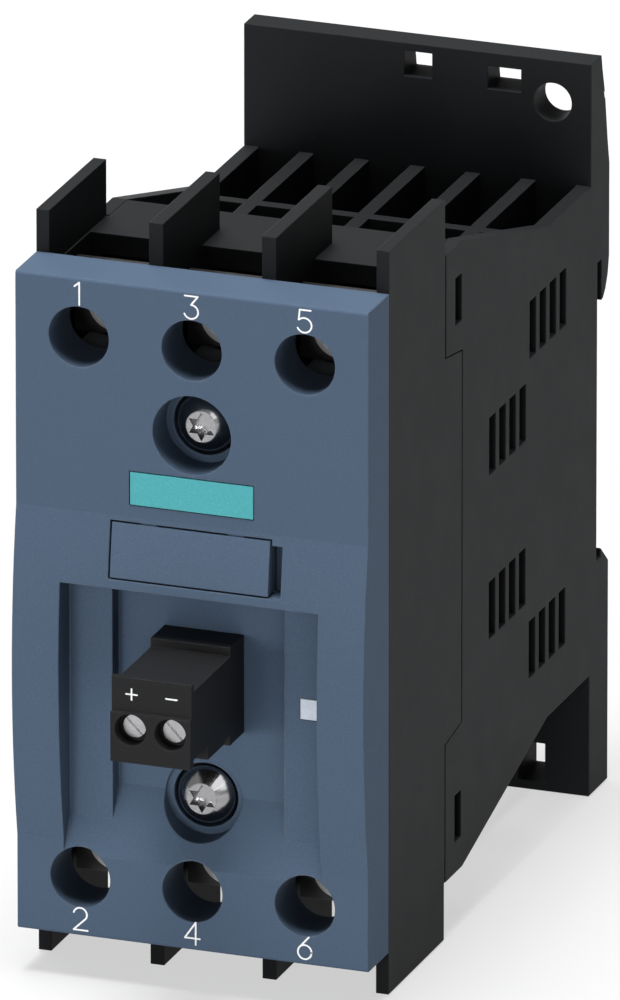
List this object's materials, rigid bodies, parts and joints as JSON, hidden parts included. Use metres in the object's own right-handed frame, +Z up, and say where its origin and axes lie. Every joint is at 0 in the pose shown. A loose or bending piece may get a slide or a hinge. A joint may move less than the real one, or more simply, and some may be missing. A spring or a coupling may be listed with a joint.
{
  "type": "solid state relay",
  "caption": "Narrow rail-mounted solid-state relay with blue front cover, phase barriers, plug-in control terminal, finned heatsink casing and rail hooks.",
  "frame": {"origin": "on the rail seat face of the rear plate, at mid-width and on the centreline of the mounting rail", "axes": "+X to the right seen from the front, +Y to the rear towards the rail, +Z up towards terminals 1 to 3"},
  "size_m": [0.045, 0.1009, 0.095],
  "materials": {
    "cover_blue": "fine-grained moulded thermoplastic, slate blue",
    "label_blue": "fine-grained moulded thermoplastic, slate blue",
    "badge_teal": "smooth printed plastic, teal",
    "light_pipe": "milky translucent light guide",
    "casing_black": "fine-grained glass-filled plastic, black",
    "plug_black": "moulded polyamide, black",
    "zinc_steel": "bright zinc-plated steel",
    "clamp_steel": "tin-plated pressed steel",
    "bar_copper": "bare copper strip",
    "sink_aluminium": "extruded aluminium, black anodised",
    "board_green": "solder-masked circuit board",
    "ceramic_white": "copper-clad ceramic",
    "chip_grey": "passivated silicon",
    "part_black": "moulded epoxy",
    "varistor_blue": "dipped epoxy coating",
    "capacitor_can": "sleeved can",
    "led_lens": "clear lamp body",
    "spring_steel": "bare spring steel",
    "pin_tin": "tinned pins"
  },
  "bodies": {
    "casing": {"front_cover": "cover_blue", "badge": "badge_teal", "light_pipe": "light_pipe", "terminal_housing": "casing_black", "heatsink_housing": "casing_black", "clamping_screws": "zinc_steel", "pin_header": "part_black", "header_pins": "pin_tin", "control_board": "board_green", "status_led": "led_lens", "optocouplers": "part_black", "varistors": "varistor_blue", "capacitors": "capacitor_can", "gate_pins": "pin_tin", "power_substrate": "ceramic_white", "thyristors": "chip_grey", "heatsink": "sink_aluminium", "busbar_1": "bar_copper", "busbar_2": "bar_copper", "busbar_3": "bar_copper", "busbar_4": "bar_copper", "busbar_5": "bar_copper", "busbar_6": "bar_copper"},
    "plug": {"plug_housing": "plug_black", "plug_contact_1": "bar_copper", "plug_contact_2": "bar_copper"},
    "label_plate": {"label_plate": "label_blue"},
    "rail_spring": {"rail_spring": "spring_steel"},
    "clamp_1": {"terminal_clamp_1": "clamp_steel"},
    "screw_1": {"terminal_screw_1": "zinc_steel"},
    "clamp_2": {"terminal_clamp_2": "clamp_steel"},
    "screw_2": {"terminal_screw_2": "zinc_steel"},
    "clamp_3": {"terminal_clamp_3": "clamp_steel"},
    "screw_3": {"terminal_screw_3": "zinc_steel"},
    "clamp_4": {"terminal_clamp_4": "clamp_steel"},
    "screw_4": {"terminal_screw_4": "zinc_steel"},
    "clamp_5": {"terminal_clamp_5": "clamp_steel"},
    "screw_5": {"terminal_screw_5": "zinc_steel"},
    "clamp_6": {"terminal_clamp_6": "clamp_steel"},
    "screw_6": {"terminal_screw_6": "zinc_steel"},
    "plug_cage_1": {"plug_cage_1": "clamp_steel"},
    "plug_screw_1": {"plug_screw_1": "zinc_steel"},
    "plug_cage_2": {"plug_cage_2": "clamp_steel"},
    "plug_screw_2": {"plug_screw_2": "zinc_steel"}
  },
  "joints": [
    {"name": "clamp_1_travel", "type": "slide", "parent": "casing", "child": "clamp_1", "axis": [0, 1, 0], "range_m": [-0.0014, 0.0042]},
    {"name": "screw_1_turn", "type": "hinge", "parent": "clamp_1", "child": "screw_1", "pos_m": [-0.0144, -0.0701, 0.0346], "axis": [0, 1, 0], "range_deg": [-721, 2161]},
    {"name": "clamp_2_travel", "type": "slide", "parent": "casing", "child": "clamp_2", "axis": [0, 1, 0], "range_m": [-0.0014, 0.0042]},
    {"name": "screw_2_turn", "type": "hinge", "parent": "clamp_2", "child": "screw_2", "pos_m": [0, -0.0701, 0.0346], "axis": [0, 1, 0], "range_deg": [-721, 2161]},
    {"name": "clamp_3_travel", "type": "slide", "parent": "casing", "child": "clamp_3", "axis": [0, 1, 0], "range_m": [-0.0014, 0.0042]},
    {"name": "screw_3_turn", "type": "hinge", "parent": "clamp_3", "child": "screw_3", "pos_m": [0.0144, -0.0701, 0.0346], "axis": [0, 1, 0], "range_deg": [-721, 2161]},
    {"name": "clamp_4_travel", "type": "slide", "parent": "casing", "child": "clamp_4", "axis": [0, 1, 0], "range_m": [-0.0014, 0.0042]},
    {"name": "screw_4_turn", "type": "hinge", "parent": "clamp_4", "child": "screw_4", "pos_m": [-0.0144, -0.0701, -0.0346], "axis": [0, 1, 0], "range_deg": [-721, 2161]},
    {"name": "clamp_5_travel", "type": "slide", "parent": "casing", "child": "clamp_5", "axis": [0, 1, 0], "range_m": [-0.0014, 0.0042]},
    {"name": "screw_5_turn", "type": "hinge", "parent": "clamp_5", "child": "screw_5", "pos_m": [0, -0.0701, -0.0346], "axis": [0, 1, 0], "range_deg": [-721, 2161]},
    {"name": "clamp_6_travel", "type": "slide", "parent": "casing", "child": "clamp_6", "axis": [0, 1, 0], "range_m": [-0.0014, 0.0042]},
    {"name": "screw_6_turn", "type": "hinge", "parent": "clamp_6", "child": "screw_6", "pos_m": [0.0144, -0.0701, -0.0346], "axis": [0, 1, 0], "range_deg": [-721, 2161]},
    {"name": "plug_pull", "type": "slide", "parent": "casing", "child": "plug", "axis": [0, -1, 0], "range_m": [0, 0.012]},
    {"name": "plug_screw_1_turn", "type": "hinge", "parent": "plug", "child": "plug_screw_1", "pos_m": [-0.00254, -0.0953, -0.00905], "axis": [0, 1, 0], "range_deg": [-1, 1441]},
    {"name": "plug_cage_1_rise", "type": "slide", "parent": "plug", "child": "plug_cage_1", "axis": [0, -1, 0], "range_m": [0, 0.0018]},
    {"name": "plug_screw_2_turn", "type": "hinge", "parent": "plug", "child": "plug_screw_2", "pos_m": [0.00254, -0.0953, -0.00905], "axis": [0, 1, 0], "range_deg": [-1, 1441]},
    {"name": "plug_cage_2_rise", "type": "slide", "parent": "plug", "child": "plug_cage_2", "axis": [0, -1, 0], "range_m": [0, 0.0018]},
    {"name": "label_plate_pull", "type": "slide", "parent": "casing", "child": "label_plate", "axis": [0, -1, 0], "range_m": [0, 0.006]},
    {"name": "rail_spring_flex", "type": "hinge", "parent": "casing", "child": "rail_spring", "pos_m": [-0.014, 0.00075, 0.02055], "axis": [0, -1, 0], "range_deg": [0, 4.2], "stiffness_Nm_per_rad": 0.6}
  ],
  "couplings": [
    {"joint": "screw_1_turn", "follows": "clamp_1_travel", "rad_per_m": 8976},
    {"joint": "screw_2_turn", "follows": "clamp_2_travel", "rad_per_m": 8976},
    {"joint": "screw_3_turn", "follows": "clamp_3_travel", "rad_per_m": 8976},
    {"joint": "screw_4_turn", "follows": "clamp_4_travel", "rad_per_m": 8976},
    {"joint": "screw_5_turn", "follows": "clamp_5_travel", "rad_per_m": 8976},
    {"joint": "screw_6_turn", "follows": "clamp_6_travel", "rad_per_m": 8976},
    {"joint": "plug_screw_1_turn", "follows": "plug_cage_1_rise", "rad_per_m": 13963},
    {"joint": "plug_screw_2_turn", "follows": "plug_cage_2_rise", "rad_per_m": 13963}
  ]
}
